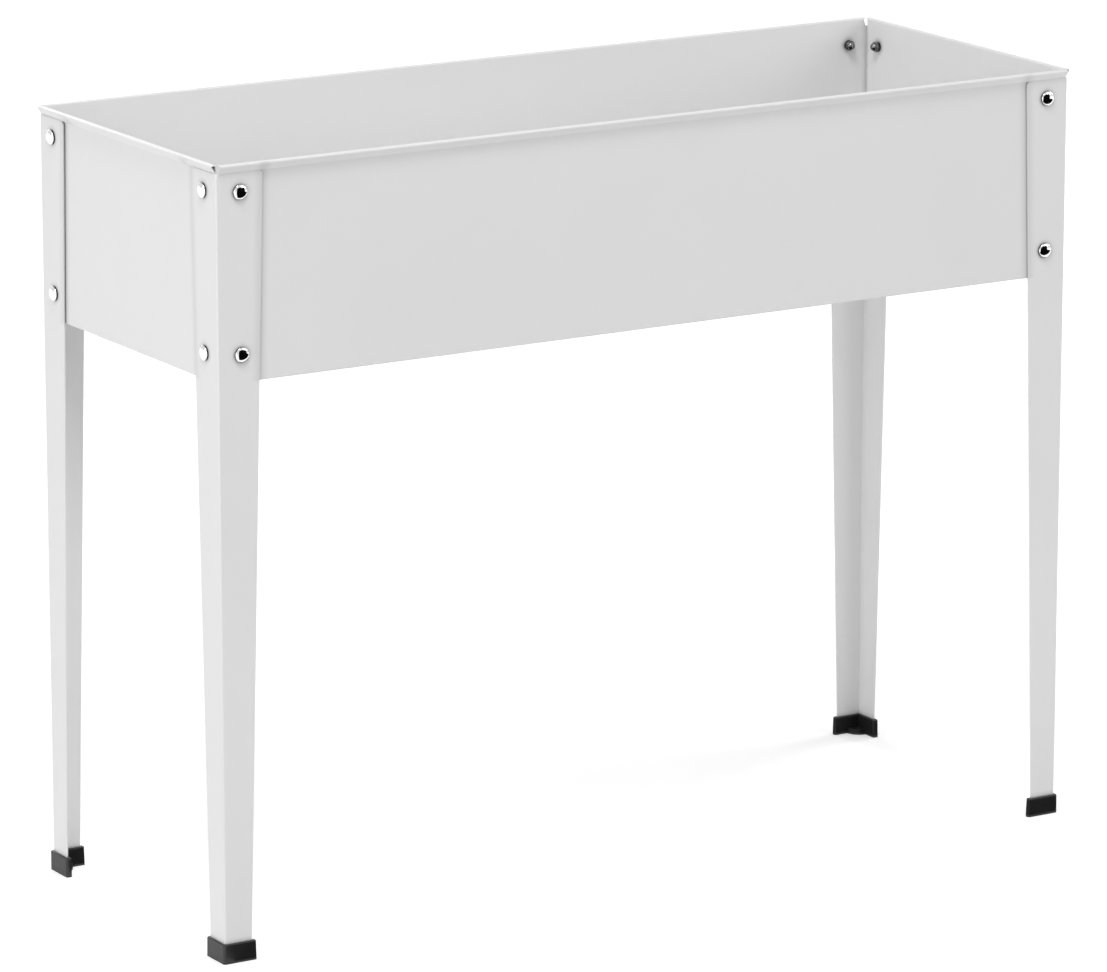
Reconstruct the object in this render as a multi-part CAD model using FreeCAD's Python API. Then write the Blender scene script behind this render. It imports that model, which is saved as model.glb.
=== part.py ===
import FreeCAD, Part
import math
import os

Vector = FreeCAD.Vector

# Overall size in millimetres: over the outer faces of the legs, and from the ground to the top of the rim
length = 1000.0
depth = 370.0
height = 800.0

# Two lengths or places closer than this count as the same
tolerance = 0.01

# Folded sheet steel
sheet = 0.8
leg_sheet = 1.5
fold_radius = 0.8
nest = 0.3

# Walls: a hollow rim folded outward along the top, a ledge folded inward along the bottom
wall_height = 216.0
rim_drop = 8.5
rim_reach = 5.8
rim_gap = 0.3
rim_end_gap = 0.7
corner_slot = 2.4
under_rim = 0.5
ledge = 18.0
ledge_rise = 1.0
return_width = 34.0
panel_gap = 0.5

# Floor panel, its edges folded down
floor_gap = 1.0
floor_lip = 12.0
drain_diameter = 10.0
drain_columns = 6
drain_rows = 2
drain_pitch_x = 150.0
drain_pitch_y = 150.0

# Legs: flange widths at the top of the leg and at the ground
leg_top_width = 51.5
leg_ground_width = 29.5
leg_corner = 4.0

# Rubber feet
foot_height = 20.0
foot_sole = 4.0
foot_wall = 2.4
foot_end = 4.0
foot_draft = 0.7
foot_fit = 0.2
foot_corner = 2.5
foot_edge = 1.2
lug_radius = 14.5
lug_inset = 6.5
lug_height = 6.5
lug_hole_diameter = 6.5

# Bolts and dome nuts
bolt_diameter = 6.0
bolt_head_diameter = 15.0
bolt_head_rim = 0.8
bolt_head_height = 3.8
bolt_neck = 6.6
bolt_gauge = 26.0
bolt_below_rim = 28.0
bolt_above_base = 28.0
thread_grip = 6.5
hole_clearance = 0.25
thread_clearance = 0.05
tip_clearance = 0.5
nut_flats = 10.0
nut_hex_height = 5.0
nut_dome_diameter = 9.2
nut_cap = 1.7

# Places that follow from the sizes above
wall_base = height - wall_height
long_face = depth / 2 - leg_sheet
short_face = length / 2 - leg_sheet - sheet
inner_x = short_face - sheet
inner_y = long_face - sheet
ledge_top = sheet + fold_radius + ledge_rise
tuck = rim_drop + under_rim
leg_top = height - tuck
leg_fold = fold_radius + sheet - nest
bolt_heights = (wall_base + bolt_above_base, height - bolt_below_rim)
long_stack = leg_sheet + sheet
short_stack = leg_sheet + 2 * sheet
bolt_length = short_stack + thread_grip
thread_depth = bolt_length - long_stack + tip_clearance
nut_height = thread_depth + nut_cap
corners = {
    "front_left": (-1, -1),
    "front_right": (1, -1),
    "rear_right": (1, 1),
    "rear_left": (-1, 1),
}


def save(name, shape):
    """Writes one node, after checking that it is sound."""
    if not shape.isValid():
        raise ValueError(name + " is not a valid shape")
    shape.exportStep(os.path.join("parts", name + ".step"))
    print(f"{name}: {len(shape.Solids)} solid(s), {shape.Volume / 1000:.2f} cm3")


def sheet_edges(points, thickness, inside_radius):
    """The two long sides of a folded sheet, as lists of points: a start, three points for each fold, an end."""
    centre_radius = inside_radius + thickness / 2
    sides = {1: [], -1: []}
    for i, point in enumerate(points):
        before = (point - points[i - 1]).normalize() if i else None
        after = (points[i + 1] - point).normalize() if i + 1 < len(points) else None
        if before is None or after is None:
            along = after or before
            across = Vector(-along.y, along.x)
            for side in sides:
                sides[side].append(point + across * (side * thickness / 2))
            continue
        turn = math.atan2(before.x * after.y - before.y * after.x, before.dot(after))
        hand = math.copysign(1, turn)
        start = point - before * (centre_radius * math.tan(abs(turn) / 2))
        centre = start + Vector(-before.y, before.x) * (hand * centre_radius)
        middle = (point - centre).normalize()
        end_ray = Vector(-after.y, after.x) * -hand
        start_ray = Vector(-before.y, before.x) * -hand
        for side in sides:
            radius = centre_radius - hand * side * thickness / 2
            sides[side] += [centre + ray * radius for ray in (start_ray, middle, end_ray)]
    return sides[1], sides[-1]


def sheet_face(points, thickness, place, inside_radius=fold_radius):
    """The cut face of a folded sheet along a centre line of (across, up) points, put in space by place."""
    left, right = sheet_edges([Vector(*p) for p in points], thickness, inside_radius)
    edges = []
    for side in (left, right):
        row = [place(p.x, p.y) for p in side]
        edges.append(Part.makeLine(row[0], row[1]))
        for i in range(1, len(row) - 1, 3):
            edges.append(Part.Arc(*row[i:i + 3]).toShape())
            edges.append(Part.makeLine(row[i + 2], row[i + 3]))
    edges.append(Part.makeLine(place(left[0].x, left[0].y), place(right[0].x, right[0].y)))
    edges.append(Part.makeLine(place(left[-1].x, left[-1].y), place(right[-1].x, right[-1].y)))
    return Part.Face(Part.Wire(Part.__sortEdges__(edges)))


def prism(corner_points, travel):
    """A straight-sided solid from a closed polygon."""
    return Part.Face(Part.makePolygon(corner_points + corner_points[:1])).extrude(travel)


def turned(shape, degrees):
    """A copy of a shape, turned about the upright axis through the middle of the bed."""
    copy = shape.copy()
    copy.rotate(Vector(0, 0, 0), Vector(0, 0, 1), degrees)
    return copy


def rim_points():
    """Centre line of the rim: up the wall, out over the top and back down to the wall as a closed triangle."""
    radius = fold_radius + sheet / 2
    top = wall_height - sheet / 2
    lip = Vector(rim_reach - sheet / 2 - radius, top - radius)
    end = Vector(rim_gap + sheet / 2, wall_height - rim_drop)
    reach = end - lip
    slant = math.atan2(reach.y, reach.x) + math.acos(radius / reach.Length)
    tangent = lip + Vector(math.cos(slant), math.sin(slant)) * radius
    share = (top - end.y) / (tangent.y - end.y)
    fold = end + (tangent - end) * share
    return [(-sheet / 2, wall_height - tuck), (-sheet / 2, top), (fold.x, top), (end.x, end.y)]


def wall(face, rim_half, slot_half, ledge_half, plan):
    """One wall, facing -Y: rim and ledge along their own lengths, and the flat between them along its plan.

    At each end of the rim a slot through the upright sheet relieves the fold, and the rim itself runs on over it.
    """
    def place(out, up):
        return Vector(0, -(face + out), wall_base + up)

    rim = sheet_face(rim_points(), sheet, place)
    rim.translate(Vector(-rim_half, 0, 0))
    rim = rim.extrude(Vector(2 * rim_half, 0, 0))
    slot_depth = 2 * sheet + rim_gap / 2
    for start in (-rim_half - sheet, slot_half):
        corner = place(rim_gap / 2, wall_height - tuck) + Vector(start, 0, 0)
        rim = rim.cut(Part.makeBox(rim_half + sheet - slot_half, slot_depth, tuck + sheet, corner))

    ledge_line = [(-sheet - ledge, sheet / 2), (-sheet / 2, sheet / 2), (-sheet / 2, ledge_top)]
    shelf = sheet_face(ledge_line, sheet, place)
    shelf.translate(Vector(-ledge_half, 0, 0))
    shelf = shelf.extrude(Vector(2 * ledge_half, 0, 0))

    flat = sheet_face(plan, sheet, lambda x, y: Vector(x, y, wall_base + ledge_top))
    flat = flat.extrude(Vector(0, 0, wall_height - tuck - ledge_top))
    return flat.fuse([rim, shelf]).removeSplitter()


def hole(position, direction, diameter, thickness):
    """A round cutter centred in a wall of that thickness, standing out by as much on both sides."""
    reach = 3 * thickness
    return Part.makeCylinder(diameter / 2, reach, position - direction * (reach / 2), direction)


def long_wall():
    """The front wall, whose ends return round the corners outside the short walls."""
    centre = -(long_face - sheet / 2)
    tip = -long_face + return_width
    side = length / 2 - leg_sheet - sheet / 2
    plan = [(-side, tip), (-side, centre), (side, centre), (side, tip)]
    body = wall(long_face, short_face - rim_end_gap, inner_x - corner_slot, inner_x - ledge - panel_gap, plan)
    cutters = []
    for z in bolt_heights:
        for hand in (-1, 1):
            on_face = Vector(hand * (length / 2 - bolt_gauge), centre, z)
            on_return = Vector(hand * side, -depth / 2 + bolt_gauge, z)
            cutters.append(hole(on_face, Vector(0, 1, 0), bolt_diameter + 2 * hole_clearance, sheet))
            cutters.append(hole(on_return, Vector(1, 0, 0), bolt_diameter + 2 * hole_clearance, sheet))
    return body.cut(cutters)


def short_wall():
    """A short wall, facing -Y, flat-ended, that stands between the two long ones."""
    centre = -(short_face - sheet / 2)
    end = inner_y - fold_radius - panel_gap
    plan = [(-end, centre), (end, centre)]
    body = wall(short_face, long_face - rim_end_gap, inner_y - corner_slot, end, plan)
    cutters = []
    for z in bolt_heights:
        for hand in (-1, 1):
            middle = Vector(hand * (depth / 2 - bolt_gauge), centre, z)
            cutters.append(hole(middle, Vector(0, 1, 0), bolt_diameter + 2 * hole_clearance, sheet))
    return body.cut(cutters)


def floor_panel():
    """A panel with drain holes, whose four edges are folded down and stand on the ledges of the walls."""
    seat = wall_base + sheet
    half_x = inner_x - floor_gap
    half_y = inner_y - floor_gap
    notch = sheet + 2 * fold_radius
    centre = floor_lip - sheet / 2

    def channel(half, run, place, travel):
        line = [
            (-half + sheet / 2, 0),
            (-half + sheet / 2, centre),
            (half - sheet / 2, centre),
            (half - sheet / 2, 0),
        ]
        face = sheet_face(line, sheet, place)
        face.translate(travel * -run)
        return face.extrude(travel * (2 * run))

    along = channel(half_y, half_x - notch, lambda a, b: Vector(0, a, seat + b), Vector(1, 0, 0))
    across = channel(half_x, half_y - notch, lambda a, b: Vector(a, 0, seat + b), Vector(0, 1, 0))
    body = along.fuse(across).removeSplitter()
    drains = []
    for i in range(drain_columns):
        for j in range(drain_rows):
            x = (i - (drain_columns - 1) / 2) * drain_pitch_x
            y = (j - (drain_rows - 1) / 2) * drain_pitch_y
            drains.append(hole(Vector(x, y, seat + centre), Vector(0, 0, 1), drain_diameter, sheet))
    return body.cut(drains)


def flange_width(z):
    """Width of a leg's flange at a height: an even taper down to the ground."""
    return leg_ground_width + (leg_top_width - leg_ground_width) * z / leg_top


def corner_line(reach):
    """Centre line of a leg's angle section, with its outer corner at the origin."""
    middle = leg_sheet / 2
    return [(reach, middle), (middle, middle), (middle, reach)]


def tapered(body, start, low, high, bottom, top):
    """An angle-shaped piece, its two arms trimmed to one reach at the bottom and another at the top."""
    side = [
        Vector(start, start, bottom),
        Vector(low, start, bottom),
        Vector(high, start, top),
        Vector(start, start, top),
    ]
    across = max(low, high) - start
    body = body.common(prism(side, Vector(0, across, 0)))
    return body.common(prism([Vector(p.y, p.x, p.z) for p in side], Vector(across, 0, 0)))


def leg():
    """A folded angle with its corner on the upright axis and flanges along +X and +Y that taper to the foot."""
    angle = sheet_face(corner_line(leg_top_width), leg_sheet, lambda x, y: Vector(x, y, foot_sole), leg_fold)
    body = angle.extrude(Vector(0, 0, leg_top - foot_sole))
    body = tapered(body, 0, flange_width(foot_sole), leg_top_width, foot_sole, leg_top)
    free_corners = []
    for edge in body.Edges:
        middle = edge.CenterOfMass
        across = abs(edge.Length - leg_sheet) < tolerance and abs(middle.z - leg_top) < tolerance
        if across and max(middle.x, middle.y) > leg_top_width - tolerance:
            free_corners.append(edge)
    body = body.makeFillet(leg_corner, free_corners)
    opening = bolt_neck + 2 * hole_clearance
    slots = []
    for z in bolt_heights:
        for x, y in ((bolt_gauge, leg_sheet / 2), (leg_sheet / 2, bolt_gauge)):
            corner = Vector(x - opening / 2, y - opening / 2, z - opening / 2)
            slots.append(Part.makeBox(opening, opening, opening, corner))
    return body.cut(slots)


def foot():
    """A rubber cap in the leg's own section, closed underneath, with a holed lug in its inside corner."""
    outside = -foot_fit - foot_wall
    inside = leg_sheet + foot_fit + foot_wall
    tip = flange_width(foot_height) + foot_end
    base = tip + foot_draft
    plan = [(outside, outside), (base, outside), (base, inside), (inside, inside), (inside, base), (outside, base)]
    body = prism([Vector(x, y, 0) for x, y in plan], Vector(0, 0, foot_height))
    body = tapered(body, outside, base, tip, 0, foot_height)
    inner_corner = Vector(inside, inside, foot_height / 2)
    upright = [e for e in body.Edges if e.BoundBox.ZLength > foot_height - tolerance]
    outer = [e for e in upright if (e.CenterOfMass - inner_corner).Length > tolerance]
    body = body.makeFillet(foot_corner, outer)
    body = body.makeFillet(foot_edge, [e for e in body.Edges if e.BoundBox.ZMin > foot_height - tolerance])
    pocket = sheet_face(
        corner_line(flange_width(foot_height) + foot_fit),
        leg_sheet + 2 * foot_fit,
        lambda x, y: Vector(x, y, foot_sole),
        leg_fold - foot_fit,
    )
    body = body.cut(pocket.extrude(Vector(0, 0, foot_height)))
    root = inside - foot_wall / 2
    lug = Part.makeCylinder(lug_radius + foot_wall / 2, lug_height, Vector(root, root, 0), Vector(0, 0, 1), 90)
    body = body.fuse(lug).removeSplitter()
    middle = Vector(inside + lug_inset, inside + lug_inset, lug_height / 2)
    return body.cut(hole(middle, Vector(0, 0, 1), lug_hole_diameter, lug_height))


def dome(radius, base, rise):
    """A round cap on a circle of the given radius, turned from its arc."""
    ball = (radius * radius + rise * rise) / (2 * rise)
    centre = base + rise - ball
    halfway = (math.atan2(base - centre, radius) + math.pi / 2) / 2
    rim, top = Vector(radius, 0, base), Vector(0, 0, base + rise)
    arc = Part.Arc(rim, Vector(ball * math.cos(halfway), 0, centre + ball * math.sin(halfway)), top).toShape()
    foot_point = Vector(0, 0, base)
    edges = [arc, Part.makeLine(top, foot_point), Part.makeLine(foot_point, rim)]
    return Part.Face(Part.Wire(edges)).revolve(Vector(0, 0, 0), Vector(0, 0, 1), 360)


def bolt():
    """A cup-head bolt with a short square neck. Its head seats at zero height and points up."""
    head = Part.makeCylinder(bolt_head_diameter / 2, bolt_head_rim)
    cap = dome(bolt_head_diameter / 2, bolt_head_rim, bolt_head_height - bolt_head_rim)
    neck = Part.makeBox(bolt_neck, bolt_neck, leg_sheet, Vector(-bolt_neck / 2, -bolt_neck / 2, -leg_sheet))
    shank = Part.makeCylinder(bolt_diameter / 2, bolt_length, Vector(0, 0, -bolt_length))
    return head.fuse([cap, neck, shank]).removeSplitter()


def nut():
    """A dome nut. Its base is at zero height and its dome points down, the way the bolt goes in."""
    flat = nut_flats / 2
    points = []
    for k in range(6):
        angle = math.radians(60 * k)
        points.append(Vector(math.cos(angle), math.sin(angle)) * (flat / math.cos(math.pi / 6)))
    body = prism(points, Vector(0, 0, nut_hex_height))
    body = body.fuse(dome(nut_dome_diameter / 2, nut_hex_height, nut_height - nut_hex_height)).removeSplitter()
    body = body.cut(Part.makeCylinder(bolt_diameter / 2 + thread_clearance, thread_depth))
    body.rotate(Vector(0, 0, 0), Vector(1, 0, 0), 180)
    return body


def seated(shape, seat, outward):
    """A copy of an upright fastener, with its axis turned outward and its zero height at the seat."""
    copy = shape.copy()
    copy.Placement = FreeCAD.Placement(seat, FreeCAD.Rotation(Vector(0, 0, 1), outward)).multiply(shape.Placement)
    return copy


def fasteners(hand_x, hand_y):
    """The four bolts and the four nuts of one leg, two on each flange."""
    bolts, nuts = [], []
    one_bolt, one_nut = bolt(), nut()
    for z in bolt_heights:
        seats = (
            (Vector(hand_x * (length / 2 - bolt_gauge), hand_y * depth / 2, z), Vector(0, hand_y, 0), long_stack),
            (Vector(hand_x * length / 2, hand_y * (depth / 2 - bolt_gauge), z), Vector(hand_x, 0, 0), short_stack),
        )
        for seat, outward, stack in seats:
            bolts.append(seated(one_bolt, seat, outward))
            nuts.append(seated(one_nut, seat - outward * stack, outward))
    return Part.makeCompound(bolts), Part.makeCompound(nuts)


def at_corner(shape, quarter, hand_x, hand_y):
    """A copy of a corner piece, turned and moved to one corner of the bed."""
    copy = turned(shape, 90 * quarter)
    copy.translate(Vector(hand_x * length / 2, hand_y * depth / 2, 0))
    return copy


os.makedirs("parts", exist_ok=True)

one_long, one_short = long_wall(), short_wall()
save("front_wall", one_long)
save("rear_wall", turned(one_long, 180))
save("left_wall", turned(one_short, -90))
save("right_wall", turned(one_short, 90))
save("floor_panel", floor_panel())

one_leg, one_foot = leg(), foot()
for quarter, (corner, hands) in enumerate(corners.items()):
    save("leg_" + corner, at_corner(one_leg, quarter, *hands))
    save("foot_" + corner, at_corner(one_foot, quarter, *hands))
    corner_bolts, corner_nuts = fasteners(*hands)
    save("bolts_" + corner, corner_bolts)
    save("nuts_" + corner, corner_nuts)
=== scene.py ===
# %% [markdown]
# # A raised garden bed
#
# The bed is a box of thin folded steel on four tapered angle legs. All the steel is powder-coated white, the bolts and
# dome nuts are polished, and each leg stands in a black rubber foot. The walls and the floor come ready from the frame.
# The legs, bolts and nuts are modelled here, because their soft coated edges and round crowns catch the light.

# %% Load the frame
import math

import bmesh
import bpy
from mathutils import Matrix, Vector


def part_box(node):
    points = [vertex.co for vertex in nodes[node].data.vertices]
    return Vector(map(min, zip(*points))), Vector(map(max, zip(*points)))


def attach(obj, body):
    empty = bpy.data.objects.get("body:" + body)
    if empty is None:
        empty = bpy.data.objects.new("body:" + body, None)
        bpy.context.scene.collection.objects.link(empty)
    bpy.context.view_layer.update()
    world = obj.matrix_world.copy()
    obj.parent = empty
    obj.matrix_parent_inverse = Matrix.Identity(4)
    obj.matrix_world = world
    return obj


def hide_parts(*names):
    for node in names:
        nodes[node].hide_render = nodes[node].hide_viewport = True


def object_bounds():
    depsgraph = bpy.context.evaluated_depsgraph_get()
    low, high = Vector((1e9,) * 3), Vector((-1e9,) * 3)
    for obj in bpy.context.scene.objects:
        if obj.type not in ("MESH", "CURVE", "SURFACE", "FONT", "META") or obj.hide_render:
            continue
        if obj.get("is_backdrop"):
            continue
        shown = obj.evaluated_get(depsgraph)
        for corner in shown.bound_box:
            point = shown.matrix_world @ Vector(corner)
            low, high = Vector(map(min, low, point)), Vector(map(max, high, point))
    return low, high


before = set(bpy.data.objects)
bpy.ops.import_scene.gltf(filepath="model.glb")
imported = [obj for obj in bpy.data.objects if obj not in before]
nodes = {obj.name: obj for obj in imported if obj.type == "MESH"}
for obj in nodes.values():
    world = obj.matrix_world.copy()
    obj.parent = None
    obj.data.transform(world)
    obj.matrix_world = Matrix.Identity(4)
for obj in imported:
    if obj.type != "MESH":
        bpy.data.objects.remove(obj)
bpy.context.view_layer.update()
mm = 0.001

# %% [markdown]
# ## Working by hand, in code
#
# Operators act on whatever is selected, so each piece starts with nothing selected. In edit mode the part to shape is
# picked by its place or its normal, just as a pointer would pick it on the screen.

# %% Selecting and finishing
SELECT_MODES = {"verts": "VERT", "edges": "EDGE", "faces": "FACE"}
SEAM = 0.002 * mm


def start_fresh():
    """Leaves edit mode and deselects everything, so that the next operator meets only its own piece."""
    if bpy.context.mode != "OBJECT":
        bpy.ops.object.mode_set(mode="OBJECT")
    bpy.ops.object.select_all(action="DESELECT")


def middle(item):
    """The middle of a vertex, an edge or a face."""
    if isinstance(item, bmesh.types.BMVert):
        return item.co
    return sum((v.co for v in item.verts), Vector()) / len(item.verts)


def choose(kind, test):
    """Selects the verts, edges or faces of the piece in edit mode that pass a test."""
    bpy.ops.mesh.select_mode(type=SELECT_MODES[kind])
    bpy.ops.mesh.select_all(action="DESELECT")
    mesh = bmesh.from_edit_mesh(bpy.context.edit_object.data)
    for item in getattr(mesh, kind):
        if test(item):
            item.select_set(True)
    mesh.select_flush_mode()
    bmesh.update_edit_mesh(bpy.context.edit_object.data)


def near(a, b):
    """Whether two lengths are the same, as far as a hand could tell."""
    return abs(a - b) < 10 * SEAM


def modify(piece, kind, **settings):
    """Adds a modifier to a piece and applies it at once."""
    bpy.context.view_layer.objects.active = piece
    modifier = piece.modifiers.new(kind.title(), kind)
    for name, value in settings.items():
        setattr(modifier, name, value)
    bpy.ops.object.modifier_apply(modifier=modifier.name)


def combine(piece, tool, operation):
    """Cuts a piece with a tool, or joins the two, and takes the tool away."""
    modify(piece, "BOOLEAN", operation=operation, object=tool, solver="EXACT")
    bpy.data.objects.remove(tool)


def tidy(piece, sharp_degrees):
    """Merges doubled points, turns the faces outward and smooths what isn't a sharp edge."""
    start_fresh()
    bpy.context.view_layer.objects.active = piece
    piece.select_set(True)
    bpy.ops.object.mode_set(mode="EDIT")
    bpy.ops.mesh.select_all(action="SELECT")
    bpy.ops.mesh.remove_doubles(threshold=SEAM)
    bpy.ops.mesh.normals_make_consistent(inside=False)
    bpy.ops.object.mode_set(mode="OBJECT")
    bpy.ops.object.shade_smooth_by_angle(angle=math.radians(sharp_degrees))


def copy_of(piece, name, place):
    """A copy of a piece with a mesh of its own, moved by a matrix."""
    copy = bpy.data.objects.new(name, piece.data.copy())
    copy.data.transform(place)
    bpy.context.scene.collection.objects.link(copy)
    return copy


# %% [markdown]
# ## Colours and nodes
#
# A colour is written as the hex value that the eye sees, and turned into linear light for the shader. Each material is
# a small graph of nodes, and one function adds a node with its settings and links.

# %% Colour and node functions
def linear(hex_colour):
    """Linear RGBA of an sRGB hex colour."""
    channels = [int(hex_colour[i:i + 2], 16) / 255 for i in (1, 3, 5)]
    return [c / 12.92 if c <= 0.04045 else ((c + 0.055) / 1.055) ** 2.4 for c in channels] + [1.0]


def add_node(tree, kind, sockets=None, **settings):
    """Adds a node: settings are its properties, and each socket gets a value or another node's output."""
    node = tree.nodes.new("ShaderNode" + kind)
    for name, value in settings.items():
        setattr(node, name, value)
    for name, value in (sockets or {}).items():
        if isinstance(value, bpy.types.NodeSocket):
            tree.links.new(value, node.inputs[name])
        else:
            node.inputs[name].default_value = value
    return node


def new_material(name):
    """A material with an empty graph."""
    material = bpy.data.materials.new(name)
    material.use_nodes = True
    material.node_tree.nodes.clear()
    return material, material.node_tree


def per_metre(size_mm):
    """The texture scale that gives a pattern of this size."""
    return 1 / (size_mm * mm)


MIX_FACTOR, MIX_A, MIX_B, MIX_COLOUR = 0, 6, 7, 2

# %% [markdown]
# ## White powder coat
#
# Polyester powder is sprayed on the folded steel and baked to a satin skin. It flows into a faint orange peel, with
# bumps about a millimetre across. A fine noise gives the peel, and a broad one the slow drift of tone and gloss.

# %% Powder coat: skin
coat, tree = new_material("white_satin_powder_coat")
PEEL_MM = 2.5  # the real peel is nearer 1 mm, and is drawn coarser so that it shows
DRIFT_MM = 140
place = add_node(tree, "TexCoord").outputs["Object"]
peel = add_node(tree, "TexNoise", {"Vector": place, "Scale": per_metre(PEEL_MM), "Detail": 2.0})
drift = add_node(tree, "TexNoise", {"Vector": place, "Scale": per_metre(DRIFT_MM), "Detail": 3.0})
skin = add_node(tree, "Mix", {
    MIX_FACTOR: drift.outputs["Fac"],
    MIX_A: linear("#ECECEC"),
    MIX_B: linear("#F0F0F0"),
}, data_type="RGBA")
gloss = add_node(tree, "MapRange", {"Value": drift.outputs["Fac"], "To Min": 0.34, "To Max": 0.42})
relief = add_node(tree, "Bump", {"Height": peel.outputs["Fac"], "Strength": 0.25, "Distance": 0.03 * mm})
print(coat.name, "peel", PEEL_MM, "mm")

# %% [markdown]
# The pieces are coated before they are bolted together. A thin grey seam of painted shade runs where one sheet lies
# on another. Occlusion by all pieces, divided by the piece's occlusion of itself, finds the seams and leaves the folds
# unshaded. The rim hangs free over the tops of the legs, and from that height up no painted shade is added.

# %% Powder coat: painted seam shade
SEAM_MM = 6
OVER_LEGS = 0.2 * mm
leg_low, leg_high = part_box("leg_front_left")
rim_base = leg_high.z + OVER_LEGS
around = add_node(tree, "AmbientOcclusion", {"Distance": SEAM_MM * mm}, samples=8)
alone = add_node(tree, "AmbientOcclusion", {"Distance": SEAM_MM * mm}, samples=8, only_local=True)
apart = add_node(tree, "Math", {0: around.outputs["AO"], 1: alone.outputs["AO"]}, operation="DIVIDE")
seam_unshaded = add_node(tree, "MapRange", {"Value": apart.outputs[0], "From Min": 0.5, "From Max": 1.0})
spot = add_node(tree, "SeparateXYZ", {"Vector": place})
over_legs = add_node(tree, "Math", {0: spot.outputs["Z"], 1: rim_base}, operation="GREATER_THAN")
unshaded = add_node(tree, "Math", {0: seam_unshaded.outputs["Result"], 1: over_legs.outputs[0]}, operation="MAXIMUM")
print(coat.name, "seams", SEAM_MM, "mm wide, up to", round(rim_base / mm, 1), "mm")

# %% [markdown]
# Along the cut edges of the legs, where they lie on the walls, a faint painted shade runs about a centimetre to each
# side. Its distance is measured from the leg's sloping edge: along the length on the long sides, and along the depth on
# the short ones. Only faces that look outward get it.

# %% Powder coat: painted shade along the edges of the legs
TOP_WIDTH = 51.5 * mm
GROUND_WIDTH = 29.5 * mm
SHADE_MM = 11
SHADE = 0.2
LOOKS_OUT = 50 * mm  # an outer face lies at least this far from the middle of the bed
LEVEL = (1, 1, 0)  # keeps the level part of a direction
wall_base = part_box("front_wall")[0].z
MIX_NUMBER_A, MIX_NUMBER_B = 2, 3
normal = add_node(tree, "TexCoord").outputs["Normal"]
facing = add_node(tree, "SeparateXYZ", {"Vector": normal})
short_side = add_node(tree, "Math", {0: facing.outputs["X"]}, operation="ABSOLUTE")
along_x = add_node(tree, "Math", {0: spot.outputs["X"]}, operation="ABSOLUTE")
along_y = add_node(tree, "Math", {0: spot.outputs["Y"]}, operation="ABSOLUTE")
from_end = add_node(tree, "Math", {0: -leg_low.x, 1: along_x.outputs[0]}, operation="SUBTRACT")
from_side = add_node(tree, "Math", {0: -leg_low.y, 1: along_y.outputs[0]}, operation="SUBTRACT")
from_corner = add_node(tree, "Mix", {
    MIX_FACTOR: short_side.outputs[0],
    MIX_NUMBER_A: from_end.outputs[0],
    MIX_NUMBER_B: from_side.outputs[0],
})
taper = (TOP_WIDTH - GROUND_WIDTH) / leg_high.z
width = add_node(tree, "Math", {0: spot.outputs["Z"], 1: taper, 2: GROUND_WIDTH}, operation="MULTIPLY_ADD")
off_edge = add_node(tree, "Math", {0: from_corner.outputs[0], 1: width.outputs[0]}, operation="SUBTRACT")
distance = add_node(tree, "Math", {0: off_edge.outputs[0]}, operation="ABSOLUTE")
fading = add_node(tree, "MapRange", {
    "Value": distance.outputs[0], "From Max": SHADE_MM * mm, "To Min": SHADE, "To Max": 0.0,
}, interpolation_type="SMOOTHSTEP")
sideways = add_node(tree, "VectorMath", {0: normal, 1: LEVEL}, operation="MULTIPLY")
outward = add_node(tree, "VectorMath", {0: sideways.outputs["Vector"], 1: place}, operation="DOT_PRODUCT")
outside = add_node(tree, "Math", {0: outward.outputs["Value"], 1: LOOKS_OUT}, operation="GREATER_THAN")
on_box = add_node(tree, "Math", {0: spot.outputs["Z"], 1: wall_base}, operation="GREATER_THAN")
there = add_node(tree, "Math", {0: outside.outputs[0], 1: on_box.outputs[0]}, operation="MULTIPLY")
shade = add_node(tree, "Math", {0: fading.outputs["Result"], 1: there.outputs[0]}, operation="MULTIPLY")
print(coat.name, "shade", SHADE_MM, "mm to each side of the legs' edges")

# %% [markdown]
# The shader puts these together: the painted edge shade lies on the skin, and the painted seam shade lies over both. A
# baked coat mirrors light as a plastic does, so it has no metallic part, although there is steel under it.

# %% Powder coat: shader
# Near the legs' edges the coat is painted towards #9C9C9C grey: painted shade.
shaded = add_node(tree, "Mix", {
    MIX_FACTOR: shade.outputs[0],
    MIX_A: skin.outputs[MIX_COLOUR],
    MIX_B: linear("#9C9C9C"),
}, data_type="RGBA")
# The seams are painted towards #B0B0B0 grey: painted shade where the pieces shade each other.
colour = add_node(tree, "Mix", {
    MIX_FACTOR: unshaded.outputs[0],
    MIX_A: linear("#B0B0B0"),
    MIX_B: shaded.outputs[MIX_COLOUR],
}, data_type="RGBA")
surface = add_node(tree, "BsdfPrincipled", {
    "Base Color": colour.outputs[MIX_COLOUR],
    "Roughness": gloss.outputs["Result"],
    "Normal": relief.outputs["Normal"],
    "IOR": 1.5,
})
add_node(tree, "OutputMaterial", {"Surface": surface.outputs["BSDF"]})
print(coat.name, len(tree.nodes), "nodes")

# %% [markdown]
# ## Polished plated steel
#
# The bolts are steel with a bright nickel plate, polished before plating. It mirrors the room almost sharply, with a
# faint haze where fingers and the barrel finish have touched it. Round its foot, where it meets the painted sheet, a
# dark line of painted shade is laid on the plate, and occlusion finds that line. The nuts have a plate of zinc, just as
# smooth, with greyer tones as painted shade. One function makes both plates, because only their tones differ.

# %% Polished plated steel
HAZE_MM = 3
FOOT_SHADE_MM = 8


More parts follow.
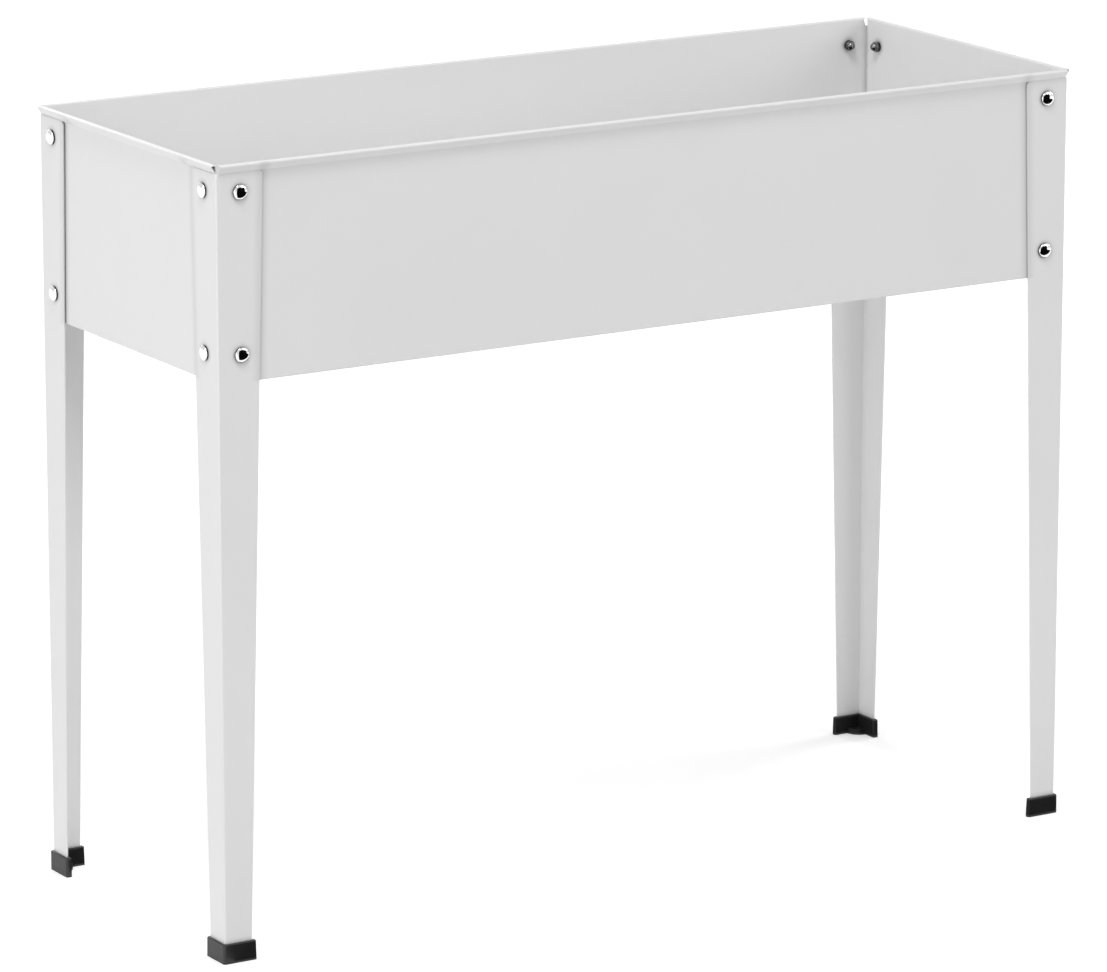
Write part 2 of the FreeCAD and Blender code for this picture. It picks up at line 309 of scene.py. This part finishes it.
def plated(name, tones):
    """A polished plate that drifts between two tones, with painted shade round its foot."""
    material, tree = new_material(name)
    place = add_node(tree, "TexCoord").outputs["Object"]
    haze = add_node(tree, "TexNoise", {"Vector": place, "Scale": per_metre(HAZE_MM), "Detail": 4.0})
    around = add_node(tree, "AmbientOcclusion", {"Distance": FOOT_SHADE_MM * mm}, samples=8)
    bright = add_node(tree, "MapRange", {"Value": around.outputs["AO"], "From Min": 0.64, "From Max": 0.78})
    polished = add_node(tree, "Mix", {
        MIX_FACTOR: haze.outputs["Fac"],
        MIX_A: linear(tones[0]),
        MIX_B: linear(tones[1]),
    }, data_type="RGBA")
    # Painted shade: round the foot, where head and sheet shade each other, the plate is painted near black, #0E0E0E.
    tone = add_node(tree, "Mix", {
        MIX_FACTOR: bright.outputs["Result"],
        MIX_A: linear("#0E0E0E"),
        MIX_B: polished.outputs[MIX_COLOUR],
    }, data_type="RGBA")
    polish = add_node(tree, "MapRange", {"Value": haze.outputs["Fac"], "To Min": 0.03, "To Max": 0.08})
    mirror = add_node(tree, "BsdfPrincipled", {
        "Base Color": tone.outputs[MIX_COLOUR],
        "Metallic": 1.0,
        "Roughness": polish.outputs["Result"],
    })
    add_node(tree, "OutputMaterial", {"Surface": mirror.outputs["BSDF"]})
    print(name, len(tree.nodes), "nodes")
    return material


nickel = plated("polished_nickel_plate", ("#EBEAE8", "#F5F5F3"))
# The nuts get grey tones as painted shade, for the shaded box that they sit in and mirror.
nut_plate_in_painted_shade = plated("dark_zinc_plate", ("#787878", "#868686"))

# %% [markdown]
# ## Moulded black rubber
#
# The feet are moulded in black rubber. Carbon black makes it nearly as dark as a solid can be, and the mould leaves a
# fine matt grain, so it shows mostly as a soft sheen that grows towards grazing angles.

# %% Moulded black rubber
rubber, tree = new_material("moulded_black_rubber")
GRAIN_MM = 1.2  # the real grain is nearer 0.2 mm, and is drawn coarser so that it shows
BLOOM_MM = 12
place = add_node(tree, "TexCoord").outputs["Object"]
grain = add_node(tree, "TexNoise", {"Vector": place, "Scale": per_metre(GRAIN_MM), "Detail": 3.0})
bloom = add_node(tree, "TexNoise", {"Vector": place, "Scale": per_metre(BLOOM_MM), "Detail": 2.0})
tone = add_node(tree, "Mix", {
    MIX_FACTOR: bloom.outputs["Fac"],
    MIX_A: linear("#0C0C0C"),
    MIX_B: linear("#151515"),
}, data_type="RGBA")
matt = add_node(tree, "MapRange", {"Value": grain.outputs["Fac"], "To Min": 0.4, "To Max": 0.55})
relief = add_node(tree, "Bump", {"Height": grain.outputs["Fac"], "Strength": 0.35, "Distance": 0.08 * mm})
body = add_node(tree, "BsdfPrincipled", {
    "Base Color": tone.outputs[MIX_COLOUR],
    "Roughness": matt.outputs["Result"],
    "Normal": relief.outputs["Normal"],
    "IOR": 1.52,
    "Specular IOR Level": 0.6,
})
add_node(tree, "OutputMaterial", {"Surface": body.outputs["BSDF"]})
print(rubber.name, len(tree.nodes), "nodes")

# %% [markdown]
# ## Walls, floor and feet
#
# The frame's own walls, floor and feet already have the right shape: the hollow rim with its square open ends and the
# slots that relieve its corners, the ledges, the drain holes and the moulded caps. They only need their finish.

# %% Finish on the frame's pieces
FINISHES = {"wall": coat, "floor_panel": coat, "leg": coat, "foot": rubber, "bolts": nickel, "nuts": nut_plate_in_painted_shade}
for name, node in nodes.items():
    for word, finish in FINISHES.items():
        if word in name:
            node.material_slots[0].material = finish
print({name: node.material_slots[0].material.name for name, node in nodes.items()})

# %% [markdown]
# ## An angle leg
#
# A leg is a flat blank of steel, tapered on both sides and folded once along its length. The same steps work here: one
# flange starts as a plane, the second is extruded from its fold edge, the free edges are drawn in towards the foot, and
# a bevel rounds the fold. Solidify then gives the sheet its thickness, and a last small bevel softens the coated edges.
# The coat on its top edge nearly fills the gap under the rim.

# %% Leg: the two flanges
CORNERS = {"front_left": (-1, -1), "front_right": (1, -1), "rear_right": (1, 1), "rear_left": (-1, 1)}
LEG_SHEET = 1.5 * mm
FOLD_OUTSIDE = 2.0 * mm
FREE_CORNER = 4 * mm
COAT_EDGE = 0.3 * mm
COAT_ON_TOP = 0.3 * mm
corner = Vector((leg_low.x, leg_low.y, 0))
leg_top, leg_base = leg_high.z + COAT_ON_TOP, leg_low.z
base_width = GROUND_WIDTH + (TOP_WIDTH - GROUND_WIDTH) * leg_base / leg_top

start_fresh()
bpy.ops.mesh.primitive_plane_add(size=1, rotation=(math.pi / 2, 0, 0))
leg = bpy.context.object
leg.name = "angle_leg"
leg.scale = (TOP_WIDTH, leg_top - leg_base, 1)
leg.location = (TOP_WIDTH / 2, 0, (leg_top + leg_base) / 2)
bpy.ops.object.transform_apply(location=True, rotation=True, scale=True)
bpy.ops.object.mode_set(mode="EDIT")
choose("edges", lambda e: near(middle(e).x, 0))
bpy.ops.mesh.extrude_region_move(TRANSFORM_OT_translate={"value": (0, TOP_WIDTH, 0)})
choose("verts", lambda v: near(v.co.x, TOP_WIDTH) and near(v.co.z, leg_base))
bpy.ops.transform.translate(value=(base_width - TOP_WIDTH, 0, 0))
choose("verts", lambda v: near(v.co.y, TOP_WIDTH) and near(v.co.z, leg_base))
bpy.ops.transform.translate(value=(0, base_width - TOP_WIDTH, 0))
choose("verts", lambda v: near(v.co.z, leg_top) and near(max(v.co.x, v.co.y), TOP_WIDTH))
bpy.ops.mesh.bevel(affect="VERTICES", offset=FREE_CORNER, segments=8)
choose("edges", lambda e: all(near(v.co.x, 0) and near(v.co.y, 0) for v in e.verts))
bpy.ops.mesh.bevel(affect="EDGES", offset=FOLD_OUTSIDE, segments=8)
bpy.ops.mesh.select_all(action="SELECT")
bpy.ops.mesh.normals_make_consistent(inside=False)
start_fresh()
print(leg.name, len(leg.data.polygons), "faces before thickness", tuple(leg.dimensions / mm))

# %% [markdown]
# The sheet grows inward from its outer faces, so that the leg keeps its overall size. Square holes for the bolt necks
# are cut before the edges are softened, because powder rounds the edges of the holes as well.

# %% Leg: thickness, holes and soft edges
HEAD_RADIUS = 7.5 * mm
NECK = 6.6 * mm
NECK_CLEARANCE = 0.5 * mm
bolts_low, bolts_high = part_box("bolts_front_left")
bolt_gauge = bolts_high.x - HEAD_RADIUS - corner.x
bolt_levels = (bolts_low.z + HEAD_RADIUS, bolts_high.z - HEAD_RADIUS)
modify(leg, "SOLIDIFY", thickness=LEG_SHEET, offset=-1, use_even_offset=True)
for level in bolt_levels:
    for x, y in ((bolt_gauge, 0), (0, bolt_gauge)):
        start_fresh()
        bpy.ops.mesh.primitive_cube_add(size=NECK + NECK_CLEARANCE, location=(x, y, level))
        combine(leg, bpy.context.object, "DIFFERENCE")
modify(leg, "BEVEL", width=COAT_EDGE, segments=2, limit_method="ANGLE", angle_limit=math.radians(40))
tidy(leg, 35)
modify(leg, "WEIGHTED_NORMAL", keep_sharp=True)
print(leg.name, len(leg.data.polygons), "faces", tuple(round(d / mm, 2) for d in leg.dimensions))

# %% [markdown]
# All four legs are the same pressing, turned a quarter at each corner of the bed.

# %% Leg: one at each corner
for quarter, (name, (hand_x, hand_y)) in enumerate(CORNERS.items()):
    stand = Vector((-hand_x * corner.x, -hand_y * corner.y, 0))
    turn = Matrix.Rotation(quarter * math.pi / 2, 4, "Z")
    piece = copy_of(leg, "angle_leg_" + name, Matrix.Translation(stand) @ turn)
    piece.data.materials.append(coat)
    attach(piece, "root")
    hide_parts("leg_" + name)
    print(piece.name, len(piece.data.polygons), "faces")
bpy.data.objects.remove(leg)

# %% [markdown]
# ## Cup-head bolts
#
# Such bolts are cold-formed: a shallow round crown with an upright rim, a square neck that bites in the leg's square
# hole, and a round shank. The crown starts as a filled circle. It is raised ring by ring to half of a flattened ball,
# which keeps the mirror finish free of dents and leaves the rim upright, and its lower edge is rounded a little.

# %% Bolt: crown
CROWN_STEPS = 12
ROUND_STEPS = 48
HEAD_RIM = 1.8 * mm
HEAD_HEIGHT = 3.8 * mm
RIM_EDGE = 0.35 * mm


def raise_crown(radius, base, rise):
    """Raises the selected round face to half of a flattened ball, ring by ring, and closes it at the top."""
    ring_radius, ring_height = radius, base
    for step in range(1, CROWN_STEPS + 1):
        angle = math.pi / 2 * step / CROWN_STEPS
        height = base + rise * math.sin(angle)
        bpy.ops.mesh.extrude_region_move(TRANSFORM_OT_translate={"value": (0, 0, height - ring_height)})
        if step < CROWN_STEPS:
            share = radius * math.cos(angle) / ring_radius
            bpy.ops.transform.resize(value=(share, share, 1), center_override=(0, 0, height))
            ring_radius *= share
        ring_height = height
    bpy.ops.mesh.merge(type="CENTER")


start_fresh()
bpy.ops.mesh.primitive_circle_add(vertices=ROUND_STEPS, radius=HEAD_RADIUS, fill_type="NGON")
bolt = bpy.context.object
bolt.name = "cup_bolt"
bpy.ops.object.mode_set(mode="EDIT")
bpy.ops.mesh.select_all(action="SELECT")
bpy.ops.mesh.extrude_region_move(TRANSFORM_OT_translate={"value": (0, 0, HEAD_RIM)})
raise_crown(HEAD_RADIUS, HEAD_RIM, HEAD_HEIGHT - HEAD_RIM)
choose("edges", lambda e: all(near(v.co.z, 0) for v in e.verts))
bpy.ops.mesh.bevel(affect="EDGES", offset=RIM_EDGE, segments=3)
tidy(bolt, 40)
print(bolt.name, len(bolt.data.polygons), "faces in the crown")

# %% [markdown]
# Neck and shank are added as a cube and a cylinder that reach into the crown, and are joined to it into one skin.

# %% Bolt: neck and shank
SHANK_RADIUS = 3 * mm
SHANK_LENGTH = 9.6 * mm
TIP_EDGE = 0.5 * mm
SINK = 0.3 * mm
start_fresh()
bpy.ops.mesh.primitive_cylinder_add(
    vertices=ROUND_STEPS, radius=SHANK_RADIUS, depth=SHANK_LENGTH + SINK, location=(0, 0, (SINK - SHANK_LENGTH) / 2))
shank = bpy.context.object
bpy.ops.object.transform_apply(location=True, rotation=True, scale=True)
bpy.ops.object.mode_set(mode="EDIT")
choose("edges", lambda e: all(near(v.co.z, -SHANK_LENGTH) for v in e.verts))
bpy.ops.mesh.bevel(affect="EDGES", offset=TIP_EDGE, segments=1)
start_fresh()
bpy.ops.mesh.primitive_cube_add(size=1, location=(0, 0, (SINK - LEG_SHEET) / 2), scale=(NECK, NECK, LEG_SHEET + SINK))
neck = bpy.context.object
bpy.ops.object.transform_apply(location=True, rotation=True, scale=True)
combine(bolt, neck, "UNION")
combine(bolt, shank, "UNION")
tidy(bolt, 40)
print(bolt.name, len(bolt.data.polygons), "faces", tuple(round(d / mm, 2) for d in bolt.dimensions))

# %% [markdown]
# ## Dome nuts
#
# A dome nut is a hexagon with a round cap over its thread. Its corners are turned off in a lathe, which leaves the
# curved chamfers that mark a real nut. Here the hexagon is cut by a bevelled round blank in the same way, the cap is
# raised like the bolt's crown, and the thread's bore is cut last.

# %% Nut: hexagon with turned corners
NUT_FLATS = 10 * mm
HEX_HEIGHT = 5 * mm
NUT_HEIGHT = 9.5 * mm
CAP_RADIUS = 4.6 * mm
CAP_WALL = 1.7 * mm
BORE_RADIUS = 3.05 * mm
BLANK_OVERSIZE = 1.002
hex_radius = NUT_FLATS / 2 / math.cos(math.pi / 6)
start_fresh()
bpy.ops.mesh.primitive_cylinder_add(vertices=6, radius=hex_radius, depth=HEX_HEIGHT, location=(0, 0, HEX_HEIGHT / 2))
nut = bpy.context.object
nut.name = "dome_nut"
bpy.ops.object.transform_apply(location=True, rotation=True, scale=True)
start_fresh()
bpy.ops.mesh.primitive_cylinder_add(
    vertices=2 * ROUND_STEPS, radius=hex_radius * BLANK_OVERSIZE, depth=HEX_HEIGHT, location=(0, 0, HEX_HEIGHT / 2))
blank = bpy.context.object
bpy.ops.object.transform_apply(location=True, rotation=True, scale=True)
bpy.ops.object.mode_set(mode="EDIT")
choose("edges", lambda e: all(near(v.co.z, 0) for v in e.verts) or all(near(v.co.z, HEX_HEIGHT) for v in e.verts))
bpy.ops.mesh.bevel(affect="EDGES", offset=hex_radius - NUT_FLATS / 2, segments=1)
start_fresh()
combine(nut, blank, "INTERSECT")
print(nut.name, len(nut.data.polygons), "faces in the hexagon")

# %% [markdown]
# The cap is raised from a circle that starts a little inside the hexagon, so that the two join into one skin.

# %% Nut: cap and bore
start_fresh()
bpy.ops.mesh.primitive_circle_add(
    vertices=ROUND_STEPS, radius=CAP_RADIUS, fill_type="NGON", location=(0, 0, HEX_HEIGHT - SINK))
cap = bpy.context.object
bpy.ops.object.transform_apply(location=True, rotation=True, scale=True)
bpy.ops.object.mode_set(mode="EDIT")
bpy.ops.mesh.select_all(action="SELECT")
bpy.ops.mesh.extrude_region_move(TRANSFORM_OT_translate={"value": (0, 0, SINK)})
raise_crown(CAP_RADIUS, HEX_HEIGHT, NUT_HEIGHT - HEX_HEIGHT)
tidy(cap, 40)
combine(nut, cap, "UNION")
start_fresh()
bore_depth = NUT_HEIGHT - CAP_WALL
bpy.ops.mesh.primitive_cylinder_add(
    vertices=ROUND_STEPS, radius=BORE_RADIUS, depth=2 * bore_depth, location=(0, 0, 0))
combine(nut, bpy.context.object, "DIFFERENCE")
tidy(nut, 30)
print(nut.name, len(nut.data.polygons), "faces", tuple(round(d / mm, 2) for d in nut.dimensions))

# %% [markdown]
# ## Fasteners in their holes
#
# Each leg has two bolts in each flange, with a nut on the inside. A bolt's crown sits on the leg, and a nut's base sits
# on the wall behind it. On the short sides there is one more layer of sheet, so the nuts stand that much further in.

# %% Fasteners at every corner
PANEL_SHEET = 0.8 * mm
UP = Vector((0, 0, 1))


def seated(piece, seat, axis):
    """A copy of an upright fastener, standing on its seat along an axis."""
    return copy_of(piece, piece.name, Matrix.Translation(seat) @ UP.rotation_difference(axis).to_matrix().to_4x4())


def as_one(pieces, name):
    """Joins the copies at one corner into one piece."""
    start_fresh()
    for piece in pieces:
        piece.select_set(True)
    bpy.context.view_layer.objects.active = pieces[0]
    bpy.ops.object.join()
    pieces[0].name = name
    return pieces[0]


for name, (hand_x, hand_y) in CORNERS.items():
    bolts, nuts = [], []
    for level in bolt_levels:
        on_long = Vector((hand_x * (-corner.x - bolt_gauge), -hand_y * corner.y, level))
        on_short = Vector((-hand_x * corner.x, hand_y * (-corner.y - bolt_gauge), level))
        for seat, outward, layers in ((on_long, Vector((0, hand_y, 0)), 1), (on_short, Vector((hand_x, 0, 0)), 2)):
            bolts.append(seated(bolt, seat, outward))
            nuts.append(seated(nut, seat - outward * (LEG_SHEET + layers * PANEL_SHEET), -outward))
    for pieces, kind, node, finish in (
            (bolts, "cup_bolts_", "bolts_", nickel), (nuts, "dome_nuts_", "nuts_", nut_plate_in_painted_shade)):
        piece = as_one(pieces, kind + name)
        piece.data.materials.append(finish)
        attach(piece, "root")
        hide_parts(node + name)
        low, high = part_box(node + name)
        off = piece.dimensions - (high - low)
        print(piece.name, len(piece.data.polygons), "faces, off its node by", [round(d / mm, 1) for d in off], "mm")
for source in (bolt, nut):
    bpy.data.objects.remove(source)

# %% [markdown]
# ## Studio
#
# The bed stands on a wide sheet of white paper. A plain white floor would need far more light than the bed can take, so
# part of its brightness is its own, and more of it further away, where the lamps hardly reach. The rest comes from the
# lamps, so the floor still takes soft shadows.

# %% Floor
FLOOR_SIZE = 60.0
NEAR_GLOW, FAR_GLOW = 0.4, 0.88
NEAR_EDGE, FAR_EDGE = 1.0, 8.0


def seen_or_mirrored(tree):
    """A factor that is 1 for what the camera sees, straight or in mirrors and glass, and 0 for plain light."""
    ray = add_node(tree, "LightPath").outputs
    mirrored = add_node(tree, "Math", {
        0: ray["Is Glossy Ray"], 1: ray["Is Transmission Ray"]}, operation="MAXIMUM")
    return add_node(tree, "Math", {0: ray["Is Camera Ray"], 1: mirrored.outputs[0]}, operation="MAXIMUM").outputs[0]


start_fresh()
bpy.ops.mesh.primitive_plane_add(size=FLOOR_SIZE, location=(0, 0, 0))
floor = bpy.context.object
floor.name = "studio_floor"
floor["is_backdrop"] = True
paper, tree = new_material("white_studio_paper")
away = add_node(tree, "VectorMath", {0: add_node(tree, "TexCoord").outputs["Object"]}, operation="LENGTH")
share = add_node(tree, "MapRange", {
    "Value": away.outputs["Value"], "From Min": NEAR_EDGE, "From Max": FAR_EDGE,
    "To Min": NEAR_GLOW, "To Max": FAR_GLOW})
glow = add_node(tree, "Math", {0: seen_or_mirrored(tree), 1: share.outputs["Result"]}, operation="MULTIPLY")
own = add_node(tree, "Emission", {"Strength": glow.outputs[0]})
matt = add_node(tree, "BsdfDiffuse", {"Color": linear("#EEEEEE")})
both = add_node(tree, "AddShader", {0: matt.outputs[0], 1: own.outputs[0]})
add_node(tree, "OutputMaterial", {"Surface": both.outputs[0]})
floor.data.materials.append(paper)
print(floor.name, FLOOR_SIZE, "m wide")

# %% [markdown]
# The room is the world round the paper. To the camera, and in mirrors, it is plain white. As a light it is dimmer, so
# that the lamps shape the bed.

# %% Room
ROOM_LIGHT = 0.4
world = bpy.data.worlds.new("white_room")
world.use_nodes = True
world.node_tree.nodes.clear()
bpy.context.scene.world = world
tree = world.node_tree
level = add_node(tree, "MapRange", {"Value": seen_or_mirrored(tree), "To Min": ROOM_LIGHT, "To Max": 1.0})
room = add_node(tree, "Background", {"Strength": level.outputs["Result"]})
add_node(tree, "OutputWorld", {"Surface": room.outputs[0]})
print(world.name, "lights the bed at", ROOM_LIGHT)

# %% [markdown]
# A softbox hangs over the bed, to the front and left, and draws the soft shadow under the rim. Two low ones at the left
# make the short side the brighter one, and three more round the bed fill the other sides.

# %% Lamps
AIM = Vector((0, 0, 0.55))


def softbox(name, place, size, power):
    """A square area lamp that faces the bed."""
    lamp = bpy.data.lights.new(name, "AREA")
    lamp.shape, lamp.size, lamp.energy = "SQUARE", size, power
    holder = bpy.data.objects.new(name, lamp)
    holder.location = place
    holder.rotation_euler = (AIM - Vector(place)).to_track_quat("-Z", "Y").to_euler()
    bpy.context.scene.collection.objects.link(holder)
    print(name, power, "W")


softbox("overhead_softbox", (-1.0, -1.15, 3.6), 1.0, 44)
softbox("left_softbox", (-4.5, 0.2, 1.2), 2.2, 33)
softbox("front_left_softbox", (-4.2, -2.0, 1.2), 2.2, 30)
softbox("front_right_softbox", (3.5, -4.5, 2.5), 2.5, 63)
softbox("rear_softbox", (0.5, 5.0, 2.0), 2.5, 80)
softbox("right_softbox", (5.0, 0.5, 2.5), 2.5, 100)

# %% [markdown]
# In a white room, polished metal has nothing dark to mirror and looks like paint. A photographer puts black flags round
# it. Here a board at the front right, two mats on the floor and one in the box do that work for the bolts, the nuts and
# the rubber. They show only in mirrors, and only from the side that they face, so they take no light from the bed.

# %% Black boards
CLEAR_OF_FLOOR = 0.002
felt, tree = new_material("black_felt")
nap = add_node(tree, "BsdfDiffuse", {"Color": linear("#0A0A0A")})
clear = add_node(tree, "BsdfTransparent")
back = add_node(tree, "NewGeometry")
one_sided = add_node(tree, "MixShader", {0: back.outputs["Backfacing"], 1: nap.outputs[0], 2: clear.outputs[0]})
add_node(tree, "OutputMaterial", {"Surface": one_sided.outputs[0]})


def black_board(name, place, width, height, facing):
    """A black board that shows only in mirrors. Its place is its middle, and it faces a direction."""
    start_fresh()
    bpy.ops.mesh.primitive_plane_add(size=1, location=place)
    board = bpy.context.object
    board.name = name
    board.scale = (width, height, 1)
    board.rotation_euler = Vector(facing).to_track_quat("Z", "Y").to_euler()
    board.visible_camera = board.visible_diffuse = board.visible_shadow = board.visible_transmission = False
    board.data.materials.append(felt)
    board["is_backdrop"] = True
    print(name, width, "by", height, "m")


black_board("front_board", (1.5, -3.6, 0.88), 3.8, 1.76, (0, 1, 0))
black_board("far_mat", (1.5, -2.3, CLEAR_OF_FLOOR), 3.8, 2.6, UP)
black_board("near_mat", (0.23, -0.1, CLEAR_OF_FLOOR), 1.44, 0.8, UP)
panel_low, panel_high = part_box("floor_panel")
panel = panel_high - panel_low
# The mat in the box is painted shade, seen only in mirrors: the nuts mirror it as the shaded floor of the box.
black_board("inner_mat", (0, 0, panel_high.z + CLEAR_OF_FLOOR), panel.x, panel.y, UP)

# %% [markdown]
# ## Camera
#
# The photograph was taken with a long lens from about seven metres, 31 degrees round to the left and 14 degrees above
# the level.

# %% Camera
PICTURE_WIDTH = 1107
FOCAL_PIXELS = 6555.2
SENSOR = 36.0
camera_data = bpy.data.cameras.new("camera")
camera_data.sensor_width = SENSOR
camera_data.lens = FOCAL_PIXELS / PICTURE_WIDTH * SENSOR
camera_data.clip_end = 200
camera = bpy.data.objects.new("camera", camera_data)
camera.location = (-3.4234, -5.6110, 2.0048)
ROUND, DOWN = math.radians(31.32), math.radians(13.87)
camera.rotation_euler = (math.pi / 2 - DOWN, 0, -ROUND)
bpy.context.scene.collection.objects.link(camera)
bpy.context.scene.camera = camera
bpy.context.scene.view_settings.view_transform = "Standard"
print(camera.name, round(camera_data.lens, 1), "mm lens")

# %% [markdown]
# ## Size
#
# The dressed bed has to fill the same box as the frame.

# %% Size and finish
low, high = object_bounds()
